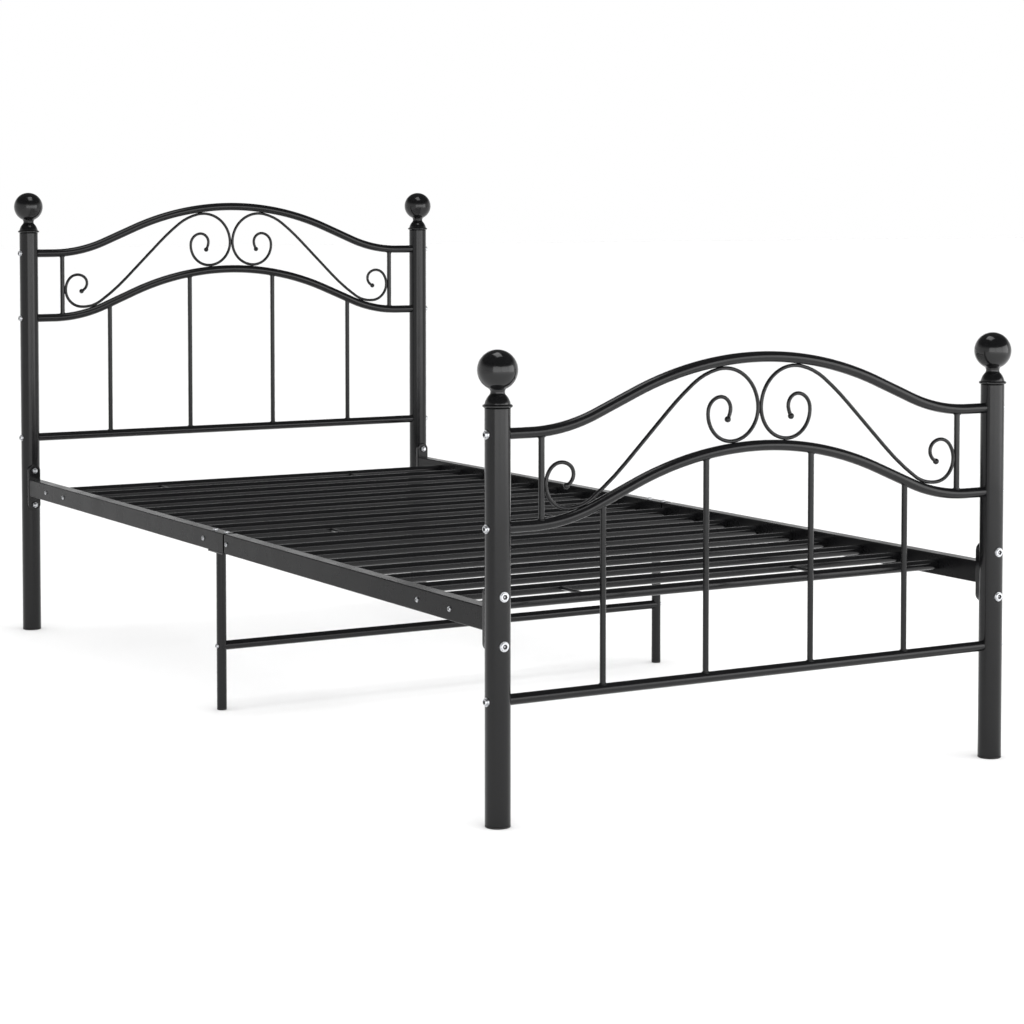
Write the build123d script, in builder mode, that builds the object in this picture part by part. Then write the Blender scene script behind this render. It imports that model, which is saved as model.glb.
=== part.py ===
from build123d import *
import os
from math import cos, radians, sin

# Single metal bed frame with arched end panels filled with spindles and scrolls.
# Units are millimetres. X runs across the bed, Y along it with the headboard at +Y, and Z up.
# The origin is on the floor under the middle of the bed.

# ------------------------------------------------------------------ driving dimensions
# Plan, between the centre lines of the posts
bed_width = 950
bed_length = 2030

# Posts: round tube, the headboard pair taller than the footboard pair
post_d = 39
post_wall = 1.2
post_tops = {"head": 859, "foot": 626}

# Plastic glides in the feet of the posts and middle legs
glide_chamfer = 1
glide_flange = 3
glide_plug = 15

# Finials: ball, neck, bell and rim, as radii and drops below the centre of the ball
ball_r = 30.5
ball_above_post = 56.3
throat_drop = 27.6
neck_r, neck_drop = 11, 33
bell_top_r, bell_top_drop = 12.2, 36.5
bell_mid_r, bell_mid_drop = 17.2, 43.4
bell_low_r, bell_low_drop = 19.5, 50.2
rim_r, rim_top_drop, rim_low_drop = 22.7, 52.3, 54.6
rim_bevel = 0.6
finial_plug = 22

# End panels: heights of the bottom tube, lower arch and upper arch where they meet the posts
tube_heights = {"head": (417, 675, 815), "foot": (189, 447, 587)}
panel_tube_d = 17
tube_bore_d = 14
arch_rise = 100
arch_crown_r = 600
arch_shoulder_r = 300
arch_slope = 22.8
bar_d = 9.5
spindle_xs = (-290.5, -101, 101, 290.5)
short_bar_x = 399.4

# Scroll wire: radius and turn of each bend, from its inner ball, over a straight run, to its outer ball.
# The reach is the distance from the end of the wire to the middle of its ball.
scroll_wire_d = 6
scroll_ball_d = 10
scroll_ball_reach = 3
scroll_start_x, scroll_start_z = 59.6, 6.7
scroll_heading = 120
scroll_inner_bends = ((31, 23), (19, 107.5), (24.5, 74), (44.2, 97.5), (51.2, 90), (64.3, 100.5),
                      (115, 25), (500, 7))
scroll_run = 109.9
scroll_outer_bends = ((450, 10), (70, 40.5), (37.5, 121.5), (24.5, 89.5), (17, 75), (19, 40))

# Side rails: rectangular tube in two lengths a side, joined over the middle leg
rail_w, rail_h, rail_wall, rail_corner_r = 24, 36, 1.5, 2
rail_z = 310
rail_joint_y, rail_joint_gap = -41, 9
sleeve_length, sleeve_wall = 200, 2

# Corner brackets: pressed dishes with round ends that seat on the posts
bracket_w, bracket_h, bracket_wall, bracket_edge_r = 27, 100, 3, 2.5
bracket_face_reach = 24.5
bracket_bolt_pitch = 74

# Slats: round tubes across the bed, numbered from the head; three pairs are tied and screwed on
slat_count = 18
slat_pitch = 104.5
slat_d = 17
slat_insert = 6
tied_pairs = ((1, 2), (9, 10), (17, 18))
tie_d = 5.5
tie_x = 230

# Middle legs and the crossbar between them
leg_d = 18
leg_y = -1.5
leg_plate_l, leg_plate_t = 65, 2.5
leg_bolt_pitch = 49
crossbar_d = 17
crossbar_z = 118

# Fasteners: heads as flange radius, head radius and head height
shank_r = 3
hole_r = 3.3
panel_head = (7, 5.2, 4)
bracket_head = (7.7, 6.6, 3)
leg_head = (6, 4.8, 2.8)
screw_head = (4.2, 3.4, 2.4)
crossbar_head = (4.4, 3.5, 2.4)
flange_t = 1.2
saddle_depth = 2.4
head_taper = 18
socket_share, socket_depth_share = 0.6, 0.55
plug_length, plug_setback = 18, 4
nut_flats, nut_hex_h, nut_total_h, nut_bore_h = 10, 4.5, 9.5, 8

# ------------------------------------------------------------------ derived dimensions
post_r = post_d / 2
post_x = bed_width / 2
post_y = bed_length / 2
tube_r = panel_tube_d / 2
bore_r = tube_bore_d / 2
bar_r = bar_d / 2
wire_r = scroll_wire_d / 2
leg_r = leg_d / 2
rail_inner_x = post_x - rail_w / 2
rail_outer_x = post_x + rail_w / 2
rail_bottom = rail_z - rail_h / 2
rail_top = rail_z + rail_h / 2
bracket_face_y = post_y - bracket_face_reach
leg_top = rail_bottom - leg_plate_t
sides = {"left": -1, "right": 1}
ends = {"head": 1, "foot": -1}
slat_ys = {n: slat_pitch * ((slat_count + 1) / 2 - n) for n in range(1, slat_count + 1)}
screwed_slats = [n for pair in tied_pairs for n in pair]
bracket_bolt_zs = [rail_z + s * bracket_bolt_pitch / 2 for s in (-1, 1)]
leg_bolt_ys = [leg_y + s * leg_bolt_pitch / 2 for s in (-1, 1)]

# An arch is level at the posts, turns up through a shoulder, climbs straight and crowns in the middle.
slope = radians(arch_slope)
crown_half = arch_crown_r * sin(slope)
climb_length = (arch_rise - (arch_crown_r + arch_shoulder_r) * (1 - cos(slope))) / sin(slope)
shoulder_start = crown_half + climb_length * cos(slope)
arch_foot = shoulder_start + arch_shoulder_r * sin(slope)

os.makedirs("parts", exist_ok=True)


def save(builder, name):
    """Labels a finished piece and writes it as one STEP file."""
    builder.part.label = name
    export_step(builder.part, f"parts/{name}.step")


def upright(x, y, z):
    """A drawing plane that stands across the bed, with its own x along X and its own y up."""
    return Plane(origin=(x, y, z), x_dir=(1, 0, 0), z_dir=(0, -1, 0))


def arch_height(x):
    """Height of an arch's centre line above its ends, at a distance x from the middle."""
    if x < crown_half:
        return arch_rise - arch_crown_r + (arch_crown_r**2 - x**2) ** 0.5
    if x < shoulder_start:
        return arch_rise - arch_crown_r * (1 - cos(slope)) - (x - crown_half) * sin(slope) / cos(slope)
    return arch_shoulder_r - (arch_shoulder_r**2 - (arch_foot - x) ** 2) ** 0.5


def arch_path(y, z):
    """Centre line of an arch whose ends are at height z, from the left post to the right post."""
    with BuildLine(upright(0, y, z)) as path:
        level = Line((-post_x, 0), (-arch_foot, 0))
        turn_up = JernArc(level @ 1, level % 1, arch_shoulder_r, arch_slope)
        climb = PolarLine(turn_up @ 1, climb_length, arch_slope)
        crown = JernArc(climb @ 1, climb % 1, arch_crown_r, -2 * arch_slope)
        fall = PolarLine(crown @ 1, climb_length, -arch_slope)
        turn_out = JernArc(fall @ 1, fall % 1, arch_shoulder_r, arch_slope)
        Line(turn_out @ 1, (post_x, 0))
    return path.line


def straight_path(y, z):
    """Centre line of a level tube from the left post to the right post."""
    with BuildLine(upright(0, y, z)) as path:
        Line((-post_x, 0), (post_x, 0))
    return path.line


def scroll_path(y, z):
    """Centre line of the right-hand scroll wire of a panel whose upper arch ends at height z."""
    heading = radians(scroll_heading)
    with BuildLine(upright(0, y, z)) as path:
        here = Vector(scroll_start_x, y, z + scroll_start_z)
        going = Vector(cos(heading), 0, sin(heading))
        for radius, turn in scroll_inner_bends:
            bend = JernArc(here, going, radius, -turn)
            here, going = bend @ 1, bend % 1
        run = Line(here, here + going * scroll_run)
        here = run @ 1
        for radius, turn in scroll_outer_bends:
            bend = JernArc(here, going, radius, turn)
            here, going = bend @ 1, bend % 1
    return path.line


def round_bar(path, radius):
    """A solid round bar swept along a centre line."""
    with BuildPart() as bar:
        with BuildSketch(Plane(origin=path @ 0, z_dir=path % 0)):
            Circle(radius)
        sweep(path=path)
    return bar.part


def button_bolt(seat, outward, reach, head):
    """A bolt seated on a flat face, with its shank running inwards and a hexagon socket in its head."""
    flange_r, head_r, head_h = head
    face = Plane(origin=seat, z_dir=outward)
    with BuildPart() as bolt:
        with BuildSketch(face):
            Circle(flange_r)
        extrude(amount=flange_t)
        with BuildSketch(face.offset(flange_t)):
            Circle(head_r)
        extrude(amount=head_h - flange_t, taper=head_taper)
        with BuildSketch(face.offset(head_h)):
            RegularPolygon(socket_share * head_r, 6)
        extrude(amount=-socket_depth_share * head_h, mode=Mode.SUBTRACT)
        with BuildSketch(face):
            Circle(shank_r)
        extrude(amount=-reach)
    return bolt.part


def saddle(seat, outward, flange_r, tube_x, tube_y, tube_radius):
    """The curved washer under a bolt head that seats it on an upright round tube."""
    with BuildPart() as washer:
        with BuildSketch(Plane(origin=seat, z_dir=outward)):
            Circle(flange_r)
        extrude(amount=-saddle_depth)
        with BuildSketch(Plane.XY.offset(seat[2] - 2 * flange_r)):
            with Locations((tube_x, tube_y)):
                Circle(tube_radius)
        extrude(amount=4 * flange_r, mode=Mode.SUBTRACT)
    return washer.part


# ------------------------------------------------------------------ posts
# Each post is an open tube with three cross holes for panel bolts and two for bracket bolts.
for end, ey in ends.items():
    for side, sx in sides.items():
        with BuildPart() as post:
            with BuildSketch(Plane.XY.offset(glide_flange)):
                with Locations((sx * post_x, ey * post_y)):
                    Circle(post_r)
                    Circle(post_r - post_wall, mode=Mode.SUBTRACT)
            extrude(amount=post_tops[end] - glide_flange)
            for z in tube_heights[end]:
                with BuildSketch(Plane(origin=(sx * post_x, ey * post_y, z), z_dir=(1, 0, 0))):
                    Circle(hole_r)
                extrude(amount=post_d, both=True, mode=Mode.SUBTRACT)
            for z in bracket_bolt_zs:
                with BuildSketch(upright(sx * post_x, ey * post_y, z)):
                    Circle(hole_r)
                extrude(amount=post_d, both=True, mode=Mode.SUBTRACT)
        save(post, f"{end}_post_{side}")

# Glides plug the feet of the four posts and two middle legs, and rest on the floor.
glide_feet = [(sx * post_x, ey * post_y, post_r, post_r - post_wall) for sx in (-1, 1) for ey in (-1, 1)]
glide_feet += [(sx * post_x, leg_y, leg_r, bore_r) for sx in (-1, 1)]
with BuildPart() as floor_glides:
    for x, y, outer_r, inner_r in glide_feet:
        with BuildSketch(upright(x, y, 0)):
            with BuildLine():
                Polyline((0, 0), (outer_r - glide_chamfer, 0), (outer_r, glide_chamfer),
                         (outer_r, glide_flange), (inner_r, glide_flange),
                         (inner_r, glide_flange + glide_plug), (0, glide_flange + glide_plug), close=True)
            make_face()
        revolve(axis=Axis((x, y, 0), (0, 0, 1)))
save(floor_glides, "floor_glides")

# A finial is one turned shape: ball, hollow neck, bell, rim and a plug that fills the top of the post.
throat_r = (ball_r**2 - throat_drop**2) ** 0.5
plug_r = post_r - post_wall
for end, ey in ends.items():
    for side, sx in sides.items():
        with BuildPart() as finial:
            with BuildSketch(upright(sx * post_x, ey * post_y, post_tops[end] + ball_above_post)):
                with BuildLine():
                    ThreePointArc((0, ball_r), (ball_r, 0), (throat_r, -throat_drop))
                    ThreePointArc((throat_r, -throat_drop), (neck_r, -neck_drop),
                                  (bell_top_r, -bell_top_drop))
                    ThreePointArc((bell_top_r, -bell_top_drop), (bell_mid_r, -bell_mid_drop),
                                  (bell_low_r, -bell_low_drop))
                    Polyline((bell_low_r, -bell_low_drop), (rim_r - rim_bevel, -rim_top_drop + rim_bevel),
                             (rim_r, -rim_top_drop), (rim_r - rim_bevel, -rim_low_drop),
                             (post_r, -ball_above_post), (plug_r, -ball_above_post),
                             (plug_r, -ball_above_post - finial_plug),
                             (0, -ball_above_post - finial_plug), (0, ball_r))
                make_face()
            revolve(axis=Axis((sx * post_x, ey * post_y, 0), (0, 0, 1)))
        save(finial, f"{end}_finial_{side}")

# ------------------------------------------------------------------ end panel tubes
# The tubes are hollow, and their ends are coped to sit on the posts.
solid_bars = {}
for end, ey in ends.items():
    low, middle, high = tube_heights[end]
    y = ey * post_y
    paths = {"bottom_tube": straight_path(y, low), "lower_arch": arch_path(y, middle),
             "upper_arch": arch_path(y, high)}
    for name, path in paths.items():
        solid_bars[end, name] = round_bar(path, tube_r)
        bore = round_bar(path, bore_r)
        with BuildPart() as tube:
            add(solid_bars[end, name])
            add(bore, mode=Mode.SUBTRACT)
            with BuildSketch(Plane.XY.offset(low - post_d)):
                with Locations((-post_x, y), (post_x, y)):
                    Circle(post_r)
            extrude(amount=high - low + 2 * post_d, mode=Mode.SUBTRACT)
        save(tube, f"{end}_{name}")

# ------------------------------------------------------------------ panel bars and scrolls
# Spindles stand on the bottom tube and are cut to fit under the lower arch.
for end, ey in ends.items():
    low, middle, high = tube_heights[end]
    with BuildPart() as spindles:
        for x in spindle_xs:
            with BuildSketch(Plane.XY.offset(low)):
                with Locations((x, ey * post_y)):
                    Circle(bar_r)
            extrude(amount=middle + arch_height(abs(x)) - low)
        add(solid_bars[end, "bottom_tube"], mode=Mode.SUBTRACT)
        add(solid_bars[end, "lower_arch"], mode=Mode.SUBTRACT)
    save(spindles, f"{end}_spindles")

# Short bars close the outer corners between the two arches.
with BuildPart() as short_bars:
    for end, ey in ends.items():
        low, middle, high = tube_heights[end]
        for sx in (-1, 1):
            with BuildSketch(Plane.XY.offset(middle + arch_height(short_bar_x))):
                with Locations((sx * short_bar_x, ey * post_y)):
                    Circle(bar_r)
            extrude(amount=high - middle)
    for bar in solid_bars.values():
        add(bar, mode=Mode.SUBTRACT)
save(short_bars, "short_bars")

# A scroll is one bent wire with a ball at each tip. It touches both arches and its mirrored neighbour.
for end, ey in ends.items():
    path = scroll_path(ey * post_y, tube_heights[end][2])
    wire = round_bar(path, wire_r)
    with BuildPart() as scroll_right:
        add(wire)
        with Locations(path @ 0 - path % 0 * scroll_ball_reach, path @ 1 + path % 1 * scroll_ball_reach):
            Sphere(scroll_ball_d / 2)
    save(scroll_right, f"{end}_scroll_right")
    with BuildPart() as scroll_left:
        mirror(scroll_right.part, about=Plane.YZ)
    save(scroll_left, f"{end}_scroll_left")

# ------------------------------------------------------------------ side rails
# Each rail half runs from its corner bracket to the joint, with holes for screws, slats and leg bolts.
joint_faces = {"head": rail_joint_y + rail_joint_gap / 2, "foot": rail_joint_y - rail_joint_gap / 2}
for end, ey in ends.items():
    start, stop = sorted((ey * bracket_face_y, joint_faces[end]))
    own_slats = [n for n, y in slat_ys.items() if start < y < stop]
    for side, sx in sides.items():
        with BuildPart() as rail:
            with BuildSketch(upright(sx * post_x, stop, rail_z)):
                RectangleRounded(rail_w, rail_h, rail_corner_r)
                RectangleRounded(rail_w - 2 * rail_wall, rail_h - 2 * rail_wall, rail_corner_r - rail_wall,
                                 mode=Mode.SUBTRACT)
            extrude(amount=stop - start)
            for n in own_slats:
                if n in screwed_slats:
                    with BuildSketch(Plane(origin=(sx * post_x, slat_ys[n], rail_z), z_dir=(sx, 0, 0))):
                        Circle(hole_r)
                    extrude(amount=rail_w, both=True, mode=Mode.SUBTRACT)
                else:
                    with BuildSketch(Plane(origin=(sx * post_x, slat_ys[n], rail_z), z_dir=(-sx, 0, 0))):
                        Circle(slat_d / 2)
                    extrude(amount=rail_w, mode=Mode.SUBTRACT)
            for y in leg_bolt_ys:
                if start < y < stop:
                    with BuildSketch(Plane(origin=(sx * post_x, y, rail_z))):
                        Circle(hole_r)
                    extrude(amount=rail_h, both=True, mode=Mode.SUBTRACT)
        save(rail, f"{end}_rail_{side}")

# A sleeve inside each rail spans the joint.
with BuildPart() as rail_sleeves:
    for sx in (-1, 1):
        with BuildSketch(upright(sx * post_x, rail_joint_y + sleeve_length / 2, rail_z)):
            RectangleRounded(rail_w - 2 * rail_wall, rail_h - 2 * rail_wall, rail_corner_r - rail_wall)
            Rectangle(rail_w - 2 * rail_wall - 2 * sleeve_wall, rail_h - 2 * rail_wall - 2 * sleeve_wall,
                      mode=Mode.SUBTRACT)
        extrude(amount=sleeve_length)
        for n in tied_pairs[1]:
            with BuildSketch(Plane(origin=(sx * post_x, slat_ys[n], rail_z), z_dir=(1, 0, 0))):
                Circle(hole_r)
            extrude(amount=rail_w, both=True, mode=Mode.SUBTRACT)
        for y in leg_bolt_ys:
            with BuildSketch(Plane(origin=(sx * post_x, y, rail_z))):
                Circle(hole_r)
            extrude(amount=rail_h, both=True, mode=Mode.SUBTRACT)
save(rail_sleeves, "rail_sleeves")

# ------------------------------------------------------------------ corner brackets
# A bracket is a dish with a closed face towards the bed and an open back cut to the post's curve.
for end, ey in ends.items():
    for side, sx in sides.items():
        face = Plane(origin=(sx * post_x, ey * bracket_face_y, rail_z), x_dir=(0, 0, 1), z_dir=(0, ey, 0))
        with BuildPart() as bracket:
            with BuildSketch(face):
                SlotOverall(bracket_h, bracket_w)
            extrude(amount=bracket_face_reach)
            fillet(bracket.faces().filter_by(Axis.Y).sort_by(Axis.Y)[0 if ey > 0 else -1].edges(),
                   bracket_edge_r)
            with BuildSketch(face.offset(bracket_wall)):
                SlotOverall(bracket_h - 2 * bracket_wall, bracket_w - 2 * bracket_wall)
            extrude(amount=bracket_face_reach, mode=Mode.SUBTRACT)
            with BuildSketch(Plane.XY.offset(rail_z - bracket_h)):
                with Locations((sx * post_x, ey * post_y)):
                    Circle(post_r)
            extrude(amount=2 * bracket_h, mode=Mode.SUBTRACT)
            for z in bracket_bolt_zs:
                with BuildSketch(upright(sx * post_x, ey * bracket_face_y, z)):
                    Circle(hole_r)
                extrude(amount=bracket_face_reach, both=True, mode=Mode.SUBTRACT)
        save(bracket, f"{end}_bracket_{side}")

# ------------------------------------------------------------------ slats
# Screwed slats butt against the rails; the others enter holes in the rails' inner walls.
for n, y in slat_ys.items():
    half = rail_inner_x if n in screwed_slats else rail_inner_x + rail_wall + slat_insert
    with BuildPart() as slat:
        with BuildSketch(Plane(origin=(-half, y, rail_z), z_dir=(1, 0, 0))):
            Circle(slat_d / 2)
            Circle(bore_r, mode=Mode.SUBTRACT)
        extrude(amount=2 * half)
    save(slat, f"slat_{n:02d}")

# Tie rods run between the slats of each tied pair, with their ends cut to the slats' curve.
with BuildPart() as tie_rods:
    for first, second in tied_pairs:
        for x in (-tie_x, tie_x):
            with BuildSketch(upright(x, slat_ys[first], rail_z)):
                Circle(tie_d / 2)
            extrude(amount=slat_ys[first] - slat_ys[second])
        for n in (first, second):
            with BuildSketch(Plane(origin=(-2 * tie_x, slat_ys[n], rail_z), z_dir=(1, 0, 0))):
                Circle(slat_d / 2)
            extrude(amount=4 * tie_x, mode=Mode.SUBTRACT)
save(tie_rods, "tie_rods")

# ------------------------------------------------------------------ middle legs and crossbar
for side, sx in sides.items():
    with BuildPart() as mid_leg:
        with BuildSketch(Plane.XY.offset(glide_flange)):
            with Locations((sx * post_x, leg_y)):
                Circle(leg_r)
                Circle(bore_r, mode=Mode.SUBTRACT)
        extrude(amount=leg_top - glide_flange)
        with BuildSketch(Plane.XY.offset(leg_top)):
            with Locations((sx * post_x, leg_y)):
                Rectangle(rail_w, leg_plate_l)
            with Locations(*[(sx * post_x, y) for y in leg_bolt_ys]):
                Circle(shank_r, mode=Mode.SUBTRACT)
        extrude(amount=leg_plate_t)
        with BuildSketch(Plane(origin=(sx * post_x, leg_y, crossbar_z), z_dir=(1, 0, 0))):
            Circle(hole_r)
        extrude(amount=leg_d, both=True, mode=Mode.SUBTRACT)
    save(mid_leg, f"mid_leg_{side}")

with BuildPart() as crossbar:
    with BuildSketch(Plane(origin=(-post_x, leg_y, crossbar_z), z_dir=(1, 0, 0))):
        Circle(crossbar_d / 2)
        Circle(bore_r, mode=Mode.SUBTRACT)
    extrude(amount=2 * post_x)
    with BuildSketch(Plane.XY.offset(crossbar_z - leg_d)):
        with Locations((-post_x, leg_y), (post_x, leg_y)):
            Circle(leg_r)
    extrude(amount=2 * leg_d, mode=Mode.SUBTRACT)
save(crossbar, "crossbar")

# ------------------------------------------------------------------ fasteners
# Threaded plugs in the ends of the panel tubes, screwed slats and crossbar.
plug_ends = [(post_x - post_r, ey * post_y, z) for end, ey in ends.items() for z in tube_heights[end]]
plug_ends += [(rail_inner_x, slat_ys[n], rail_z) for n in screwed_slats]
plug_ends.append((post_x - leg_r, leg_y, crossbar_z))
with BuildPart() as tube_end_nuts:
    for x, y, z in plug_ends:
        for sx in (-1, 1):
            with BuildSketch(Plane(origin=(sx * (x - plug_setback), y, z), z_dir=(-sx, 0, 0))):
                Circle(bore_r)
                Circle(shank_r, mode=Mode.SUBTRACT)
            extrude(amount=plug_length)
save(tube_end_nuts, "tube_end_nuts")

# Panel bolts pass through a post into each tube end.
panel_bolt_list = []
for end, ey in ends.items():
    for z in tube_heights[end]:
        for sx in (-1, 1):
            seat = (sx * (post_x + post_r), ey * post_y, z)
            panel_bolt_list.append(button_bolt(seat, (sx, 0, 0), post_d + plug_setback + plug_length,
                                               panel_head))
            panel_bolt_list.append(saddle(seat, (sx, 0, 0), panel_head[0], sx * post_x, ey * post_y, post_r))
with BuildPart() as panel_bolts:
    add(panel_bolt_list)
save(panel_bolts, "panel_bolts")

# Crossbar bolts pass through each middle leg into the crossbar.
crossbar_bolt_list = []
for sx in (-1, 1):
    seat = (sx * (post_x + leg_r), leg_y, crossbar_z)
    crossbar_bolt_list.append(button_bolt(seat, (sx, 0, 0), leg_d + plug_setback + plug_length,
                                          crossbar_head))
    crossbar_bolt_list.append(saddle(seat, (sx, 0, 0), crossbar_head[0], sx * post_x, leg_y, leg_r))
with BuildPart() as crossbar_bolts:
    add(crossbar_bolt_list)
save(crossbar_bolts, "crossbar_bolts")

# Bracket bolts pass through a post and its bracket, above and below the rail, into dome nuts.
bracket_bolt_reach = post_r + bracket_face_reach + nut_bore_h
bracket_bolt_list = []
for ey in ends.values():
    for sx in (-1, 1):
        for z in bracket_bolt_zs:
            seat = (sx * post_x, ey * (post_y + post_r), z)
            bracket_bolt_list.append(button_bolt(seat, (0, ey, 0), bracket_bolt_reach, bracket_head))
            bracket_bolt_list.append(saddle(seat, (0, ey, 0), bracket_head[0], sx * post_x, ey * post_y,
                                            post_r))
with BuildPart() as bracket_bolts:
    add(bracket_bolt_list)
save(bracket_bolts, "bracket_bolts")

# Dome nuts: a hexagon under a round cap, blind inside.
dome_r = nut_flats / 2 - 0.4
with BuildPart() as bracket_nuts:
    for ey in ends.values():
        for sx in (-1, 1):
            for z in bracket_bolt_zs:
                face = Plane(origin=(sx * post_x, ey * bracket_face_y, z), x_dir=(0, 0, 1),
                             z_dir=(0, -ey, 0))
                with BuildSketch(face):
                    RegularPolygon(nut_flats / 2, 6, major_radius=False)
                extrude(amount=nut_hex_h)
                with BuildSketch(face.offset(nut_hex_h)):
                    Circle(dome_r)
                extrude(amount=nut_total_h - nut_hex_h, taper=20)
                with BuildSketch(face):
                    Circle(shank_r)
                extrude(amount=nut_bore_h, mode=Mode.SUBTRACT)
save(bracket_nuts, "bracket_nuts")

# Leg bolts pass down through the rail and sleeve and thread into the leg's plate.
leg_bolt_list = [button_bolt((sx * post_x, y, rail_top), (0, 0, 1), rail_h + leg_plate_t, leg_head)
                 for sx in (-1, 1) for y in leg_bolt_ys]
with BuildPart() as leg_bolts:
    add(leg_bolt_list)
save(leg_bolts, "leg_bolts")

# Rail screws pass through the rail into the plugs of the screwed slats.
rail_screw_list = [button_bolt((sx * rail_outer_x, slat_ys[n], rail_z), (sx, 0, 0),
                               rail_w + plug_setback + plug_length, screw_head)
                   for sx in (-1, 1) for n in screwed_slats]
with BuildPart() as rail_screws:
    add(rail_screw_list)
save(rail_screws, "rail_screws")
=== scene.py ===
from math import cos, pi, radians, sin, tan
import bmesh
import bpy
import numpy as np
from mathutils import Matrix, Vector


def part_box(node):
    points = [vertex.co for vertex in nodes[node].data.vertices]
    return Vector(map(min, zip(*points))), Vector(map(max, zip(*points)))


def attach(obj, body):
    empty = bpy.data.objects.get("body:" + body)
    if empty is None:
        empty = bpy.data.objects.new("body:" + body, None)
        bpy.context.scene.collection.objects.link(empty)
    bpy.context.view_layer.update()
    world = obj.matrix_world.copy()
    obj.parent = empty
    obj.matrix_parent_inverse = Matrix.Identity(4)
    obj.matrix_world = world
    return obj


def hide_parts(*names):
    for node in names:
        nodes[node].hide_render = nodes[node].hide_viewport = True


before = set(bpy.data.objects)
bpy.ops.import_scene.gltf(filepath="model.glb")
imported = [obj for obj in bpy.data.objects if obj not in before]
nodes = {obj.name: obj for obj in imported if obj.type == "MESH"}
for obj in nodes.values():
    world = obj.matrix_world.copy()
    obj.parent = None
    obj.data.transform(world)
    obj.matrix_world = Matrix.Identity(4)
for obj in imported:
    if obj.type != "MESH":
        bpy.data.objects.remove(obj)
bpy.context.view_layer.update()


# ------------------------------------------------------------------ posts
# Upright round steel tubes, baked with gloss black powder paint, which flows to a faint orange peel.
# Each stands on a glide's flange, and a finial's rim closes its top.
PAINT_COLOUR = (0.0042, 0.0042, 0.0046, 1)
PAINT_ROUGHNESS = (0.14, 0.21)
PAINT_SHINE = 0.31
PEEL_SCALE, PEEL_DETAIL, PEEL_DEPTH, PEEL_STRENGTH = 520, 2, 0.00006, 0.35
CLOUD_SCALE, CLOUD_DETAIL = 16, 5
SPECK_SCALE, SPECK_DETAIL = 240, 3
SPECK_TONES, SPECK_STOPS = (0.8, 1.35), (0.35, 0.72)
GRAIN_SPAN = (0.3, 0.7)
POST_RADIUS = 0.0195
POST_SIDES = 96
POST_RINGS = 40
POST_EDGE = 0.0006
MERGE_DISTANCE = 1e-6
SHARP_DEGREES = 38


def grain(tree, scale, detail):
    """A noise pattern in the frame's own coordinates, for a finish's colour, roughness or bump to follow."""
    texture = tree.nodes.new("ShaderNodeTexNoise")
    texture.inputs["Scale"].default_value = scale
    texture.inputs["Detail"].default_value = detail
    place = tree.nodes.new("ShaderNodeTexCoord")
    tree.links.new(place.outputs["Object"], texture.inputs["Vector"])
    return texture.outputs["Fac"]


def toned(tree, value, colour, tones, stops):
    """A colour that runs from one share of itself to another as a noise value crosses two stops."""
    ramp = tree.nodes.new("ShaderNodeValToRGB")
    for stop, tone, element in zip(stops, tones, ramp.color_ramp.elements):
        element.position = stop
        element.color = tuple(tone * c for c in colour[:3]) + (1,)
    tree.links.new(value, ramp.inputs["Fac"])
    return ramp.outputs["Color"]


def polished(tree, value, roughness):
    """Roughness that runs between two limits as a noise value crosses its usual span."""
    spread = tree.nodes.new("ShaderNodeMapRange")
    spread.inputs["From Min"].default_value, spread.inputs["From Max"].default_value = GRAIN_SPAN
    spread.inputs["To Min"].default_value, spread.inputs["To Max"].default_value = roughness
    tree.links.new(value, spread.inputs["Value"])
    tree.links.new(spread.outputs["Result"], tree.nodes["Principled BSDF"].inputs["Roughness"])


def painted(name, colour, roughness, shine, peel_scale=PEEL_SCALE, peel_depth=PEEL_DEPTH):
    """A sprayed or moulded finish: cloudy roughness, fine speckle and an orange-peel bump."""
    material = bpy.data.materials.new(name)
    material.use_nodes = True
    tree = material.node_tree
    shader = tree.nodes["Principled BSDF"]
    shader.inputs["Specular IOR Level"].default_value = shine
    polished(tree, grain(tree, CLOUD_SCALE, CLOUD_DETAIL), roughness)
    speckle = toned(tree, grain(tree, SPECK_SCALE, SPECK_DETAIL), colour, SPECK_TONES, SPECK_STOPS)
    tree.links.new(speckle, shader.inputs["Base Color"])
    bump = tree.nodes.new("ShaderNodeBump")
    bump.inputs["Strength"].default_value = PEEL_STRENGTH
    bump.inputs["Distance"].default_value = peel_depth
    tree.links.new(grain(tree, peel_scale, PEEL_DETAIL), bump.inputs["Height"])
    tree.links.new(bump.outputs["Normal"], shader.inputs["Normal"])
    return material


def skinned(name, points, quads, material, sharp_degrees=180):
    """A piece from points and quads: doubled points are merged, faces are turned outwards, and edges that
    bend by more than sharp_degrees stay sharp."""
    mesh = bpy.data.meshes.new(name)
    mesh.from_pydata(points.tolist(), [], quads.tolist())
    cleaner = bmesh.new()
    cleaner.from_mesh(mesh)
    bmesh.ops.remove_doubles(cleaner, verts=cleaner.verts, dist=MERGE_DISTANCE)
    bmesh.ops.recalc_face_normals(cleaner, faces=cleaner.faces)
    cleaner.to_mesh(mesh)
    cleaner.free()
    mesh.polygons.foreach_set("use_smooth", [True] * len(mesh.polygons))
    mesh.set_sharp_from_angle(angle=radians(sharp_degrees))
    mesh.materials.append(material)
    piece = bpy.data.objects.new(name, mesh)
    bpy.context.scene.collection.objects.link(piece)
    return piece


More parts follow.
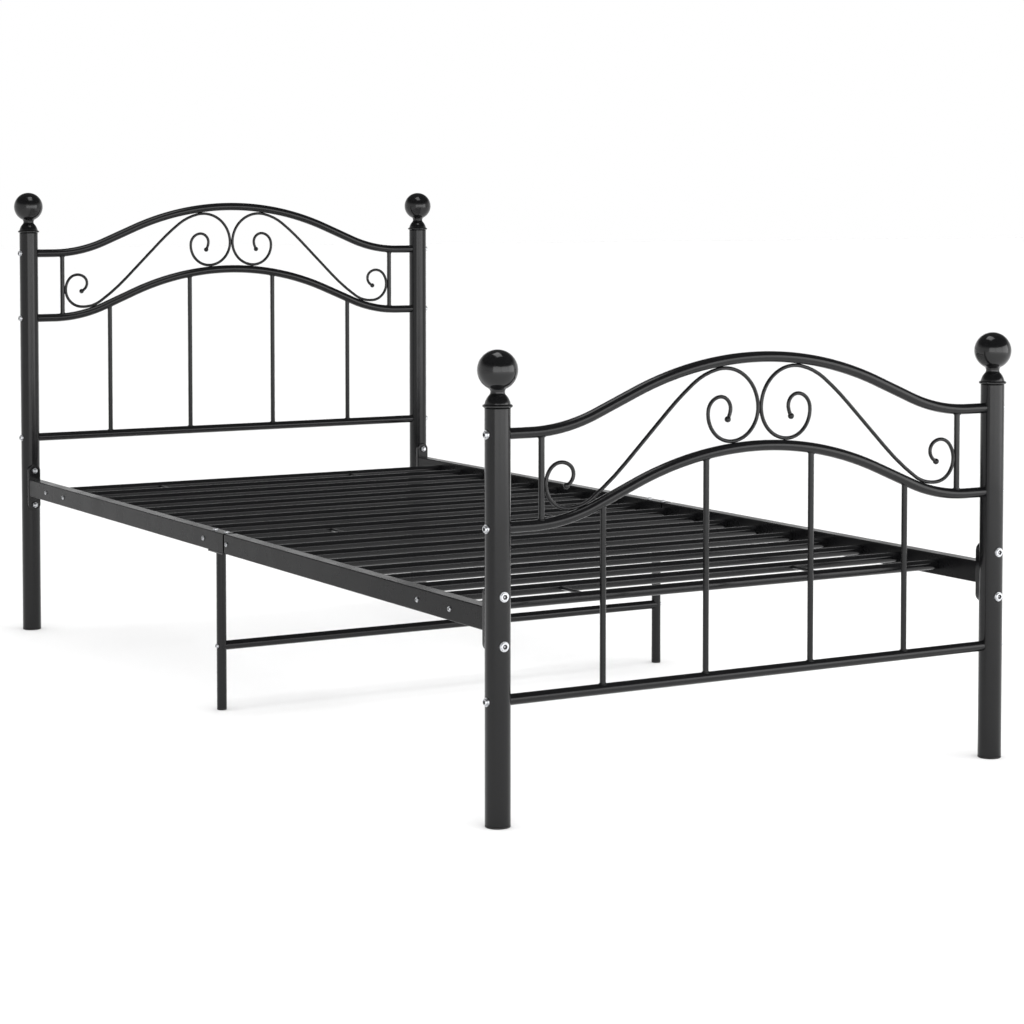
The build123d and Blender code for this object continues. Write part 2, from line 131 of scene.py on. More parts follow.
def shell(name, rings, material):
    """A closed skin over an array of rings: point (row, column) joins its neighbours by quads, each ring
    runs round on itself, and the first and last rings are drawn in to one point."""
    rows, columns = rings.shape[:2]
    row, column = np.meshgrid(np.arange(rows - 1), np.arange(columns), indexing="ij")
    after = (column + 1) % columns
    quads = np.stack([row * columns + column, row * columns + after,
                      (row + 1) * columns + after, (row + 1) * columns + column], axis=-1)
    return skinned(name, rings.reshape(-1, 3), quads.reshape(-1, 4), material, SHARP_DEGREES)


def turned(profile, foot, sides):
    """Rings of a lathe shape: each (radius, height) of the profile, carried round an upright axis at foot."""
    radius, height = np.array(profile, float).T
    angle = np.linspace(0, 2 * pi, sides, endpoint=False)
    rings = np.empty((len(radius), sides, 3))
    rings[..., 0] = foot[0] + radius[:, None] * np.cos(angle)
    rings[..., 1] = foot[1] + radius[:, None] * np.sin(angle)
    rings[..., 2] = foot[2] + height[:, None]
    return rings


def stand_for(piece, slot, *replaced):
    """Puts a finished piece on the frame's one body in place of its CAD nodes. The slot argument is not used.
    """
    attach(piece, "root")
    if replaced:
        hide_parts(*replaced)


def box_middle(node):
    """The middle of a CAD node's box."""
    low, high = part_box(node)
    return (low + high) / 2


frame_paint = painted("frame_paint", PAINT_COLOUR, PAINT_ROUGHNESS, PAINT_SHINE)
ENDS = {"head": 1, "foot": -1}
SIDES = {"left": -1, "right": 1}
for end in ENDS:
    for side in SIDES:
        low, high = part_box(f"{end}_post_{side}")
        centre = (low + high) / 2
        height = high[2] - low[2]
        profile = [(0, 0), (POST_RADIUS - POST_EDGE, 0)]
        profile += [(POST_RADIUS, z) for z in np.linspace(POST_EDGE, height - POST_EDGE, POST_RINGS)]
        profile += [(POST_RADIUS - POST_EDGE, height), (0, height)]
        post = shell(f"post_{end}_{side}", turned(profile, (centre[0], centre[1], low[2]), POST_SIDES),
                     frame_paint)
        stand_for(post, "frame_paint", f"{end}_post_{side}")


# ------------------------------------------------------------------ finials
# Glossy moulded balls on a necked bell with a thin rim, pushed into the tops of the posts.
# The profile is turned about the post's axis, from the top of the ball down to the rim's seat.
FINIAL_COLOUR = (0.0035, 0.0035, 0.0038, 1)
FINIAL_ROUGHNESS = (0.12, 0.18)
FINIAL_SHINE = 0.42
FINIAL_PEEL_SCALE, FINIAL_PEEL_DEPTH = 260, 0.00002
BALL_RADIUS = 0.0305
THROAT_DROP = 0.0276
NECK = (0.0110, -0.0330)
BELL_TOP = (0.0122, -0.0365)
BELL_MIDDLE = (0.0172, -0.0434)
BELL_LOW = (0.0195, -0.0502)
RIM_RADIUS, RIM_TOP, RIM_LOW = 0.0227, -0.0523, -0.0546
RIM_EDGE = 0.0006
RIM_SEAT = -0.0563
FINIAL_SIDES = 112
BALL_STEPS, NECK_STEPS, BELL_STEPS = 60, 12, 14


def bent(first, through, last, count):
    """Points on the circle through three points, from the first to the last."""
    (ax, ay), (bx, by), (cx, cy) = first, through, last
    turn = 2 * (ax * (by - cy) + bx * (cy - ay) + cx * (ay - by))
    a2, b2, c2 = ax * ax + ay * ay, bx * bx + by * by, cx * cx + cy * cy
    ox = (a2 * (by - cy) + b2 * (cy - ay) + c2 * (ay - by)) / turn
    oy = (a2 * (cx - bx) + b2 * (ax - cx) + c2 * (bx - ax)) / turn
    start = np.arctan2(ay - oy, ax - ox)
    middle = (np.arctan2(by - oy, bx - ox) - start + pi) % (2 * pi) - pi
    stop = (np.arctan2(cy - oy, cx - ox) - start + pi) % (2 * pi) - pi
    if middle * stop < 0:
        stop -= np.sign(stop) * 2 * pi
    angle = start + np.linspace(0, stop, count)
    reach = np.hypot(ax - ox, ay - oy)
    return list(zip(ox + reach * np.cos(angle), oy + reach * np.sin(angle)))


finial_gloss = painted("finial_gloss", FINIAL_COLOUR, FINIAL_ROUGHNESS, FINIAL_SHINE,
                       FINIAL_PEEL_SCALE, FINIAL_PEEL_DEPTH)
throat = ((BALL_RADIUS**2 - THROAT_DROP**2) ** 0.5, -THROAT_DROP)
lowest_angle = np.arctan2(throat[1], throat[0])
finial_profile = [(BALL_RADIUS * cos(a), BALL_RADIUS * sin(a))
                  for a in np.linspace(pi / 2, lowest_angle, BALL_STEPS)]
finial_profile[0] = (0, BALL_RADIUS)
finial_profile += bent(throat, NECK, BELL_TOP, NECK_STEPS)[1:]
finial_profile += bent(BELL_TOP, BELL_MIDDLE, BELL_LOW, BELL_STEPS)[1:]
finial_profile += [(RIM_RADIUS - RIM_EDGE, RIM_TOP + RIM_EDGE),
                   (RIM_RADIUS - RIM_EDGE / 3, RIM_TOP + RIM_EDGE / 3),
                   (RIM_RADIUS, RIM_TOP), (RIM_RADIUS - RIM_EDGE / 3, RIM_LOW + RIM_EDGE / 3),
                   (RIM_RADIUS - RIM_EDGE, RIM_LOW), (POST_RADIUS, RIM_SEAT), (0, RIM_SEAT)]
for end in ENDS:
    for side in SIDES:
        axis = box_middle(f"{end}_post_{side}")
        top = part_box(f"{end}_finial_{side}")[1][2]
        seat = (axis[0], axis[1], top - BALL_RADIUS)
        finial = shell(f"finial_{end}_{side}", turned(finial_profile, seat, FINIAL_SIDES), finial_gloss)
        stand_for(finial, "finial_gloss", f"{end}_finial_{side}")


# ------------------------------------------------------------------ end panel tubes
# Round steel tubes from post to post: a straight one below and two bent to the same arch above it.
# Panel bolts draw them up to the posts, and their flat ends are hidden inside the posts' curve.
TUBE_RADIUS = 0.0085
ARCH_RISE = 0.100
CROWN_RADIUS = 0.600
SHOULDER_RADIUS = 0.300
ARCH_SLOPE = radians(22.8)
TUBE_SIDES = 56
TUBE_RINGS = 220
PANEL_TUBES = ("bottom_tube", "lower_arch", "upper_arch")

crown_half = CROWN_RADIUS * sin(ARCH_SLOPE)
climb = (ARCH_RISE - (CROWN_RADIUS + SHOULDER_RADIUS) * (1 - cos(ARCH_SLOPE))) / sin(ARCH_SLOPE)
shoulder_start = crown_half + climb * cos(ARCH_SLOPE)
arch_foot = shoulder_start + SHOULDER_RADIUS * sin(ARCH_SLOPE)


def arch_height(x):
    """Height of an arch above its ends at x: a crown arc, a straight slope, a shoulder arc, then level."""
    x = np.abs(x)
    crown = ARCH_RISE - CROWN_RADIUS + np.sqrt(CROWN_RADIUS**2 - np.minimum(x, crown_half) ** 2)
    slope = ARCH_RISE - CROWN_RADIUS * (1 - cos(ARCH_SLOPE)) - (x - crown_half) * tan(ARCH_SLOPE)
    inward = np.clip(arch_foot - x, 0, arch_foot - shoulder_start)
    shoulder = SHOULDER_RADIUS - np.sqrt(SHOULDER_RADIUS**2 - inward**2)
    return np.where(x < crown_half, crown, np.where(x < shoulder_start, slope, shoulder))


def carried(points, radius, sides):
    """Rings of a round bar: a circle carried along points of one plane across the bed, square to the line
    that they make, with its ends drawn in."""
    along = np.gradient(points, axis=0)
    along /= np.linalg.norm(along, axis=1, keepdims=True)
    across = np.array((0.0, 1.0, 0.0))
    up = np.cross(along, across)
    angle = np.linspace(0, 2 * pi, sides, endpoint=False)
    circle = np.cos(angle)[:, None] * across + np.sin(angle)[:, None] * up[:, None, :]
    rings = points[:, None, :] + radius * circle
    ends = [np.repeat(points[i][None, None], sides, axis=1) for i in (0, -1)]
    return np.concatenate([ends[0], rings, ends[1]])


panel_y, levels = {}, {}
for end in ENDS:
    low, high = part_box(f"{end}_bottom_tube")
    y = panel_y[end] = (low[1] + high[1]) / 2
    x = np.linspace(low[0], high[0], TUBE_RINGS)
    for part in PANEL_TUBES:
        level = levels[end, part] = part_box(f"{end}_{part}")[0][2] + TUBE_RADIUS
        z = np.full_like(x, level) if part == "bottom_tube" else level + arch_height(x)
        line = np.stack([x, np.full_like(x, y), z], axis=1)
        tube = shell(f"{part}_{end}", carried(line, TUBE_RADIUS, TUBE_SIDES), frame_paint)
        stand_for(tube, "frame_paint", f"{end}_{part}")


# ------------------------------------------------------------------ spindles and short bars
# Thin round bars stand between the panel tubes: four spindles below the lower arch, and a short bar in
# each outer corner above it. A small ring of weld holds each end.
BAR_RADIUS = 0.00475
BAR_SIDES = 32
SPINDLE_RINGS, SHORT_BAR_RINGS = 30, 12
SPINDLE_XS = (-0.2905, -0.101, 0.101, 0.2905)
SHORT_BAR_X = 0.3994
LEAN_STEP = 0.001
WELD_RADIUS = 0.0011
WELD_BITE = 0.3
WELD_STEPS, WELD_SIDES = 48, 12
WELD_RIPPLES = ((0.14, 17), (0.08, 29))


def arch_lean(x):
    """Slope of an arch at x."""
    return float(arch_height(x + LEAN_STEP) - arch_height(x - LEAN_STEP)) / (2 * LEAN_STEP)


def weld_ring(centre, upward, slope=0.0):
    """A bead along the curve where a bar enters a tube: at each angle round the bar the bead's centre lies
    on the tube's skin, and a small circle with a little ripple is carried round it."""
    around = np.linspace(0, 2 * pi, WELD_STEPS, endpoint=False)[:, None]
    through = np.linspace(0, 2 * pi, WELD_SIDES, endpoint=False)[None, :]
    (coarse, coarse_count), (fine, fine_count) = WELD_RIPPLES
    bead = WELD_RADIUS * (1 + coarse * np.sin(coarse_count * around) + fine * np.cos(fine_count * around))
    reach = BAR_RADIUS + WELD_BITE * WELD_RADIUS + bead * np.cos(through)
    skin = np.sqrt(TUBE_RADIUS**2 - (BAR_RADIUS * np.sin(around)) ** 2)
    rings = np.empty((WELD_STEPS, WELD_SIDES, 3))
    rings[..., 0] = centre[0] + reach * np.cos(around)
    rings[..., 1] = centre[1] + reach * np.sin(around)
    rings[..., 2] = centre[2] + upward * (skin + bead * np.sin(through)) + slope * reach * np.cos(around)
    return rings


def bead_piece(name, ring_sets, material):
    """One piece of many closed beads, each a grid that runs round on itself both ways."""
    points, quads, first = [], [], 0
    for rings in ring_sets:
        rows, columns = rings.shape[:2]
        row, column = np.meshgrid(np.arange(rows), np.arange(columns), indexing="ij")
        next_row, next_column = (row + 1) % rows, (column + 1) % columns
        quads.append(first + np.stack([row * columns + column, next_row * columns + column,
                                       next_row * columns + next_column, row * columns + next_column],
                                      axis=-1).reshape(-1, 4))
        points.append(rings.reshape(-1, 3))
        first += rows * columns
    return skinned(name, np.concatenate(points), np.concatenate(quads), material)


def joined(name, pieces):
    """Several pieces with one finish made into one object."""
    mesh = bmesh.new()
    for piece in pieces:
        mesh.from_mesh(piece.data)
    whole = bpy.data.meshes.new(name)
    mesh.to_mesh(whole)
    mesh.free()
    whole.materials.append(pieces[0].data.materials[0])
    result = bpy.data.objects.new(name, whole)
    bpy.context.scene.collection.objects.link(result)
    for piece in pieces:
        bpy.data.objects.remove(piece)
    return result


def welded_bar(foot, top, rings, low_lean, top_lean):
    """An upright bar between the centre lines of two tubes. Its two weld rings join the list of welds."""
    welds.append(weld_ring(foot, 1, low_lean))
    welds.append(weld_ring(top, -1, top_lean))
    return shell("bar", carried(np.linspace(foot, top, rings), BAR_RADIUS, BAR_SIDES), frame_paint)


welds, short_bars = [], []
for end in ENDS:
    y = panel_y[end]
    spindles = []
    for x in SPINDLE_XS:
        foot = (x, y, levels[end, "bottom_tube"])
        top = (x, y, levels[end, "lower_arch"] + float(arch_height(x)))
        spindles.append(welded_bar(foot, top, SPINDLE_RINGS, 0.0, arch_lean(x)))
    stand_for(joined(f"spindles_{end}", spindles), "frame_paint", f"{end}_spindles")
    for x in (-SHORT_BAR_X, SHORT_BAR_X):
        foot, top = ((x, y, levels[end, part] + float(arch_height(x))) for part in PANEL_TUBES[1:])
        short_bars.append(welded_bar(foot, top, SHORT_BAR_RINGS, arch_lean(x), arch_lean(x)))
stand_for(joined("short_bars_pair", short_bars), "frame_paint", "short_bars")
stand_for(bead_piece("panel_welds", welds, frame_paint), "frame_paint")


# ------------------------------------------------------------------ scrolls
# Each scroll is one solid wire bent on formers to a chain of arcs, with a ball forged on each tip.
# The bends are radii in millimetres and turns in degrees, from the inner ball to the outer ball.
WIRE_RADIUS = 0.003
TIP_RADIUS = 0.0050
TIP_REACH = 0.003
TIP_SIDES, TIP_STEPS = 32, 15
WIRE_SIDES = 24
STEPS_PER_RADIAN, LEAST_STEPS, RUN_STEPS = 12, 4, 16
SCROLL_START = (0.0596, 0.0067)
SCROLL_HEADING = radians(120)
INNER_BENDS = ((31, 23), (19, 107.5), (24.5, 74), (44.2, 97.5), (51.2, 90), (64.3, 100.5), (115, 25),
               (500, 7))
SCROLL_RUN = 0.1099
OUTER_BENDS = ((450, 10), (70, 40.5), (37.5, 121.5), (24.5, 89.5), (17, 75), (19, 40))
MM = 0.001


def scroll_line():
    """The wire's centre line: arcs of the given radii and turns, each starting as the last one ends, first
    clockwise, then a straight run, then anticlockwise."""
    here, heading = np.array(SCROLL_START), SCROLL_HEADING
    line = [here[None]]
    stages = [(radius * MM, -radians(turn)) for radius, turn in INNER_BENDS] + [None]
    stages += [(radius * MM, radians(turn)) for radius, turn in OUTER_BENDS]
    for stage in stages:
        if stage is None:
            steps = np.linspace(0, SCROLL_RUN, RUN_STEPS)[1:, None]
            stretch = here + steps * np.array([cos(heading), sin(heading)])
        else:
            radius, turn = stage
            bend = np.linspace(0, turn, max(LEAST_STEPS, int(abs(turn) * STEPS_PER_RADIAN)))[1:]
            hub = here + np.sign(turn) * radius * np.array([-sin(heading), cos(heading)])
            spoke = np.arctan2(here[1] - hub[1], here[0] - hub[0]) + bend
            stretch = hub + radius * np.stack([np.cos(spoke), np.sin(spoke)], axis=1)
            heading += turn
        here = stretch[-1]
        line.append(stretch)
    return np.concatenate(line)


wire = scroll_line()
tip_profile = [(TIP_RADIUS * cos(a), TIP_RADIUS * sin(a)) for a in np.linspace(pi / 2, -pi / 2, TIP_STEPS)]
tip_profile[0], tip_profile[-1] = (0, TIP_RADIUS), (0, -TIP_RADIUS)
for end in ENDS:
    for side, sign in SIDES.items():
        line = np.stack([sign * wire[:, 0], np.full(len(wire), panel_y[end]),
                         levels[end, "upper_arch"] + wire[:, 1]], axis=1)
        parts = [shell("wire", carried(line, WIRE_RADIUS, WIRE_SIDES), frame_paint)]
        for tip, before in ((line[0], line[1]), (line[-1], line[-2])):
            onward = (tip - before) / np.linalg.norm(tip - before)
            parts.append(shell("tip", turned(tip_profile, tip + TIP_REACH * onward, TIP_SIDES), frame_paint))
        stand_for(joined(f"scroll_{end}_{side}", parts), "frame_paint", f"{end}_scroll_{side}")


# ------------------------------------------------------------------ slats and crossbar
# Eighteen round steel tubes lie across between the rails, and one more joins the middle legs below them.
# The screwed slats butt against the rails, and the others enter holes in them.
SLAT_RADIUS = 0.0085
CROSSBAR_RADIUS = 0.0085
CROSS_TUBE_SIDES = 40
CROSS_TUBE_RINGS = 24
SLAT_COUNT = 18


def cross_tube(name, node, radius):
    """A straight tube along X through the middle of its CAD node's box, in place of that node."""
    low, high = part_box(node)
    middle = (low + high) / 2
    line = np.linspace((low[0], middle[1], middle[2]), (high[0], middle[1], middle[2]), CROSS_TUBE_RINGS)
    stand_for(shell(name, carried(line, radius, CROSS_TUBE_SIDES), frame_paint), "frame_paint", node)


for number in range(1, SLAT_COUNT + 1):
    cross_tube(f"slat_tube_{number:02d}", f"slat_{number:02d}", SLAT_RADIUS)
cross_tube("crossbar_tube", "crossbar", CROSSBAR_RADIUS)


# ------------------------------------------------------------------ rails, brackets, legs and tie rods
# These keep their own shapes: rolled rectangular tube, pressed dishes, plates and rods, painted black.
# The rails' paint is set rougher and less shiny than the round tubes' paint.
RAIL_ROUGHNESS = (0.22, 0.32)
RAIL_SHINE = 0.10


def finished(node, material):
    """Gives a CAD node one procedural finish in place of its plain one."""
    nodes[node].data.materials.clear()
    nodes[node].data.materials.append(material)


rail_paint = painted("rail_paint", PAINT_COLOUR, RAIL_ROUGHNESS, RAIL_SHINE)
for node in ("rail_sleeves", "tie_rods", "mid_leg_left", "mid_leg_right"):
    finished(node, frame_paint)
for end in ENDS:
    for side in SIDES:
        finished(f"{end}_rail_{side}", rail_paint)
        finished(f"{end}_bracket_{side}", frame_paint)


# ------------------------------------------------------------------ fasteners
# Turned button-head bolts and screws with punched hexagon sockets hold posts, tubes, rails and legs. They
# are plated with zinc, with shade painted dark inside the sockets. Dome nuts and plugs keep their own shapes.
# A head is its flange radius, its own radius and its height.
ZINC_COLOUR = (0.62, 0.63, 0.65, 1)
ZINC_ROUGHNESS = (0.26, 0.42)
ZINC_TONES = (0.82, 1)
ZINC_SCALE, ZINC_DETAIL = 320, 6
# Painted shade: the zinc is coloured near black inside each socket, where shade falls.
SOCKET_SHADE_COLOUR = (0.05, 0.05, 0.052, 1)
PANEL_HEAD = (0.0070, 0.0052, 0.0040)
BRACKET_HEAD = (0.0077, 0.0066, 0.0030)
LEG_HEAD = (0.0060, 0.0048, 0.0028)
SCREW_HEAD = (0.0042, 0.0034, 0.0024)
CROSSBAR_HEAD = (0.0044, 0.0035, 0.0024)
BOLT_SIDES = 48
FLANGE_THICKNESS = 0.0012
HEAD_EDGE = 0.00025
HEAD_TOP_SHARE = 0.84
DOME_STEPS = 9
SOCKET_SHARE = 0.6
SOCKET_DEPTH_SHARE = 0.55
BARE_RING_SHARE, BARE_SHARE = 0.5, 0.3
SHANK_RADIUS = 0.003
SHANK_LENGTH = 0.020
BRACKET_PITCH = 0.074
LEG_RADIUS = 0.009
LEG_BOLT_PITCH = 0.049
SCREWED_SLATS = (1, 2, 9, 10, 17, 18)


def plated(name, colour, socket_shade_colour):
    """Zinc plate: a metal with cloudy colour and roughness, with shade painted near black where the socket
    shade attribute is 1.
    """
    material = bpy.data.materials.new(name)
    material.use_nodes = True
    tree = material.node_tree
    shader = tree.nodes["Principled BSDF"]
    shader.inputs["Metallic"].default_value = 1
    cloud = grain(tree, ZINC_SCALE, ZINC_DETAIL)
    polished(tree, cloud, ZINC_ROUGHNESS)
    # The socket shade attribute mixes the painted shade into the zinc inside the sockets.
    socket = tree.nodes.new("ShaderNodeAttribute")
    socket.attribute_name = "socket"
    mix = tree.nodes.new("ShaderNodeMix")
    mix.data_type = "RGBA"
    plain, painted_shade = (entry for entry in mix.inputs if entry.type == "RGBA")
    mixed = next(entry for entry in mix.outputs if entry.type == "RGBA")
    tree.links.new(socket.outputs["Fac"], mix.inputs["Factor"])
    tree.links.new(toned(tree, cloud, colour, ZINC_TONES, GRAIN_SPAN), plain)
    painted_shade.default_value = socket_shade_colour
    tree.links.new(mixed, shader.inputs["Base Color"])
    return material


def button_bolt(seat, outward, head, tube_radius=0):
    """A bolt about the axis outward through seat: a shank, a washer whose edge dips by R - sqrt(R^2 - s^2) to
    sit on a tube of radius R at a distance s across it, a thin flange, a head that rises on a quarter
    ellipse, and a socket whose radius is that of its flats over the cosine of the angle from a flat."""
    flange_radius, head_radius, head_height = head
    angle = np.linspace(0, 2 * pi, BOLT_SIDES, endpoint=False)
    socket_corner = SOCKET_SHARE * head_radius
    hexagon = socket_corner * cos(pi / 6) / np.cos(angle % (pi / 3) - pi / 6)
    floor_height = head_height * (1 - SOCKET_DEPTH_SHARE)
    top_radius = HEAD_TOP_SHARE * head_radius
    dome = np.linspace(0, pi / 2, DOME_STEPS)
    profile = [(0, -SHANK_LENGTH), (SHANK_RADIUS, -SHANK_LENGTH), (SHANK_RADIUS, 0), (flange_radius, 0),
               (flange_radius, FLANGE_THICKNESS - HEAD_EDGE), (flange_radius - HEAD_EDGE, FLANGE_THICKNESS)]
    washer_row = profile.index((flange_radius, 0))
    profile += list(zip(top_radius + (head_radius - top_radius) * np.cos(dome),
                        FLANGE_THICKNESS + (head_height - FLANGE_THICKNESS) * np.sin(dome)))
    radius, height = (np.repeat(column[:, None], BOLT_SIDES, axis=1) for column in np.array(profile).T)
    if tube_radius:
        across = flange_radius * np.cos(angle)
        height[washer_row] -= tube_radius - np.sqrt(tube_radius**2 - across**2)
    radius = np.concatenate([radius, [hexagon + HEAD_EDGE, hexagon, hexagon, BARE_RING_SHARE * hexagon,
                                      0 * hexagon]])
    socket_heights = [head_height, head_height - HEAD_EDGE, floor_height, floor_height, floor_height]
    height = np.concatenate([height, np.repeat(np.array(socket_heights)[:, None], BOLT_SIDES, axis=1)])
    out = np.array(outward, float)
    side = np.array((0, 1, 0) if outward[0] else (1, 0, 0), float)
    spoke = np.cos(angle)[:, None] * side + np.sin(angle)[:, None] * np.cross(out, side)
    bolt = shell("bolt", np.array(seat) + radius[..., None] * spoke + height[..., None] * out, zinc)
    points = np.empty(len(bolt.data.vertices) * 3)
    bolt.data.vertices.foreach_get("co", points)
    offset = points.reshape(-1, 3) - np.array(seat)
    depth = offset @ out
    reach = np.linalg.norm(offset - depth[:, None] * out, axis=1)
    # Points on the socket's walls and the rim of its floor take the painted shade; the middle of the floor
    # stays bare zinc.
    beside = (reach > socket_corner * BARE_SHARE) & (reach < socket_corner + HEAD_EDGE / 2)
    within = (depth > floor_height / 2) & (depth < head_height - HEAD_EDGE / 2)
    bolt["in_socket"] = (beside & within).astype(int).tolist()
    return bolt


def bolt_set(name, bolts, node):
    """Bolts of one kind as one piece, with a socket shade attribute of 1 inside each socket, where the shade
    is painted, and 0 elsewhere.
    """
    in_socket = np.concatenate([np.array(bolt["in_socket"]) for bolt in bolts]).astype(np.float32)
    piece = joined(name, bolts)
    piece.data.attributes.new("socket", "FLOAT", "POINT").data.foreach_set("value", in_socket)
    stand_for(piece, "zinc", node)


zinc = plated("zinc", ZINC_COLOUR, SOCKET_SHADE_COLOUR)
panel_bolts, bracket_bolts = [], []
for end, lengthways in ENDS.items():
    for side, sideways in SIDES.items():
        post = box_middle(f"{end}_post_{side}")
        for part in PANEL_TUBES:
            seat = (post[0] + sideways * POST_RADIUS, post[1], levels[end, part])
            panel_bolts.append(button_bolt(seat, (sideways, 0, 0), PANEL_HEAD, POST_RADIUS))
        bracket = box_middle(f"{end}_bracket_{side}")
        for step in (-BRACKET_PITCH / 2, BRACKET_PITCH / 2):
            seat = (post[0], post[1] + lengthways * POST_RADIUS, bracket[2] + step)
            bracket_bolts.append(button_bolt(seat, (0, lengthways, 0), BRACKET_HEAD, POST_RADIUS))
bolt_set("panel_bolt_set", panel_bolts, "panel_bolts")
bolt_set("bracket_bolt_set", bracket_bolts, "bracket_bolts")

crossbar_bolts, leg_bolts, rail_screws = [], [], []
for side, sideways in SIDES.items():
    outward = (sideways, 0, 0)
    leg = box_middle(f"mid_leg_{side}")
    seat = (leg[0] + sideways * LEG_RADIUS, leg[1], box_middle("crossbar")[2])
    crossbar_bolts.append(button_bolt(seat, outward, CROSSBAR_HEAD, LEG_RADIUS))
    rail_low, rail_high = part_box(f"head_rail_{side}")
    for step in (-LEG_BOLT_PITCH / 2, LEG_BOLT_PITCH / 2):
        leg_bolts.append(button_bolt((leg[0], leg[1] + step, rail_high[2]), (0, 0, 1), LEG_HEAD))
    outer_face = rail_high[0] if side == "right" else rail_low[0]
    for number in SCREWED_SLATS:
        slat = box_middle(f"slat_{number:02d}")
        rail_screws.append(button_bolt((outer_face, slat[1], slat[2]), outward, SCREW_HEAD))
bolt_set("crossbar_bolt_set", crossbar_bolts, "crossbar_bolts")
bolt_set("leg_bolt_set", leg_bolts, "leg_bolts")
bolt_set("rail_screw_set", rail_screws, "rail_screws")

for node in ("bracket_nuts", "tube_end_nuts"):
    finished(node, zinc)


# ------------------------------------------------------------------ floor glides
# Round plugs of matt black plastic, moulded and pressed into the feet of the posts and middle legs.
# Only their flanges show, between the tubes and the floor.
GLIDE_COLOUR = (0.012, 0.012, 0.012, 1)
GLIDE_ROUGHNESS = (0.4, 0.55)
GLIDE_SHINE = 0.35
GLIDE_PEEL_SCALE = 1200
finished("floor_glides", painted("glide_plastic", GLIDE_COLOUR, GLIDE_ROUGHNESS, GLIDE_SHINE,
                                 GLIDE_PEEL_SCALE))


# ------------------------------------------------------------------ floor and room
# A pale matt floor under a bare room, which is white near the horizon and dark overhead.
# The room is a ramp of greys by height, and the floor isn't a piece of the bed.
FLOOR_REACH = 40
FLOOR_COLOUR = (0.86, 0.86, 0.86, 1)
FLOOR_ROUGHNESS, FLOOR_SHINE = 0.9, 0.1
WHITE, CEILING = (1, 1, 1, 1), (0.12, 0.12, 0.12, 1)
ROOM_STOPS = ((0.16, WHITE), (0.45, CEILING))

floor_mesh = bpy.data.meshes.new("floor")
corners = [(x * FLOOR_REACH, y * FLOOR_REACH, 0) for x, y in ((-1, -1), (1, -1), (1, 1), (-1, 1))]
floor_mesh.from_pydata(corners, [], [(0, 1, 2, 3)])
floor = bpy.data.objects.new("floor", floor_mesh)
bpy.context.scene.collection.objects.link(floor)
floor_paint = bpy.data.materials.new("floor_paint")
floor_paint.use_nodes = True
floor_shader = floor_paint.node_tree.nodes["Principled BSDF"]
floor_shader.inputs["Base Color"].default_value = FLOOR_COLOUR
floor_shader.inputs["Roughness"].default_value = FLOOR_ROUGHNESS
floor_shader.inputs["Specular IOR Level"].default_value = FLOOR_SHINE
floor_mesh.materials.append(floor_paint)

world = bpy.data.worlds.new("room")
bpy.context.scene.world = world
world.use_nodes = True
room = world.node_tree
way = room.nodes.new("ShaderNodeTexCoord")
split = room.nodes.new("ShaderNodeSeparateXYZ")
ramp = room.nodes.new("ShaderNodeValToRGB")
room.links.new(way.outputs["Generated"], split.inputs["Vector"])
room.links.new(split.outputs["Z"], ramp.inputs["Fac"])
room.links.new(ramp.outputs["Color"], room.nodes["Background"].inputs["Color"])
ramp.color_ramp.elements[0].color = WHITE
ramp.color_ramp.elements[1].color = CEILING
for stop, colour in ROOM_STOPS:
    ramp.color_ramp.elements.new(stop).color = colour


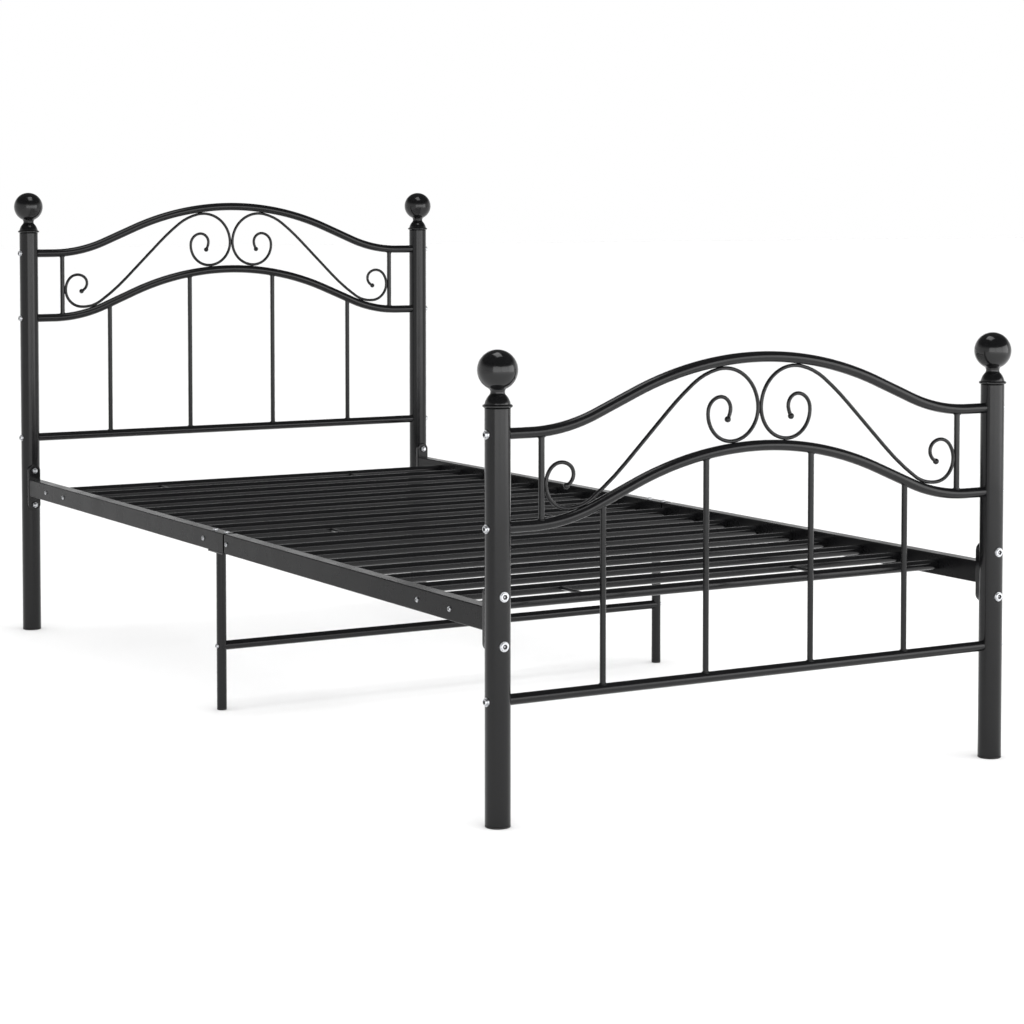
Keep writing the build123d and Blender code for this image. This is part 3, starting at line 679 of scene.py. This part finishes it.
# ------------------------------------------------------------------ lights
# Three soft panels stand in an arc round the foot end, one hangs over the bed, and a very soft sun shines
# straight down. The camera doesn't see the panels, and reflections don't show the sun.
ARC_CENTRE = (0, -1.0)
ARC_RADIUS = 3.6
ARC_PANEL_HEIGHT, ARC_PANEL_SIZE = 1.05, (2.8, 1.9)
ARC_PANELS = (("front_panel", 232, 38), ("right_panel", 276, 42), ("side_panel", 320, 46))
TOP_PANEL_PLACE, TOP_PANEL_TARGET = (-0.14, -0.43, 4.5), (-0.14, -0.43, 0)
TOP_PANEL_SIZE, TOP_PANEL_WATTS = (1.7, 2.4), 38
SUN_ANGLE = radians(80)
SUN_STRENGTH = 3.1


def soft_panel(name, place, target, size, watts):
    """A rectangular light that faces a target."""
    light = bpy.data.lights.new(name, "AREA")
    light.shape = "RECTANGLE"
    light.size, light.size_y = size
    light.energy = watts
    panel = bpy.data.objects.new(name, light)
    panel.location = place
    panel.visible_camera = False
    aim = np.array(target, float) - np.array(place, float)
    panel.rotation_euler = Vector(aim).to_track_quat("-Z", "Y").to_euler()
    bpy.context.scene.collection.objects.link(panel)


for name, bearing, watts in ARC_PANELS:
    away = np.array((cos(radians(bearing)), sin(radians(bearing)))) * ARC_RADIUS
    place = (ARC_CENTRE[0] + away[0], ARC_CENTRE[1] + away[1], ARC_PANEL_HEIGHT)
    soft_panel(name, place, (*ARC_CENTRE, ARC_PANEL_HEIGHT), ARC_PANEL_SIZE, watts)
soft_panel("top_panel", TOP_PANEL_PLACE, TOP_PANEL_TARGET, TOP_PANEL_SIZE, TOP_PANEL_WATTS)
sun = bpy.data.lights.new("sky_panel", "SUN")
sun.angle = SUN_ANGLE
sun.energy = SUN_STRENGTH
sky_panel = bpy.data.objects.new("sky_panel", sun)
sky_panel.visible_glossy = False
bpy.context.scene.collection.objects.link(sky_panel)


# ------------------------------------------------------------------ camera
# A long lens a little under a metre up, off the left corner of the foot end, with a slight dip.
# The shift places the whole frame in the picture.
CAMERA_PLACE = (-2.366, -4.3074, 0.9399)
CAMERA_DIP, CAMERA_TURN = radians(2.713), radians(30.192)
LENS, SENSOR_WIDTH, SHIFT = 90.49, 36, -0.19

camera_data = bpy.data.cameras.new("camera")
camera_data.sensor_width = SENSOR_WIDTH
camera_data.lens = LENS
camera_data.shift_y = SHIFT
camera = bpy.data.objects.new("camera", camera_data)
camera.location = CAMERA_PLACE
camera.rotation_euler = (pi / 2 - CAMERA_DIP, 0, -CAMERA_TURN)
bpy.context.scene.collection.objects.link(camera)
bpy.context.scene.camera = camera
bpy.context.scene.view_settings.view_transform = "Standard"
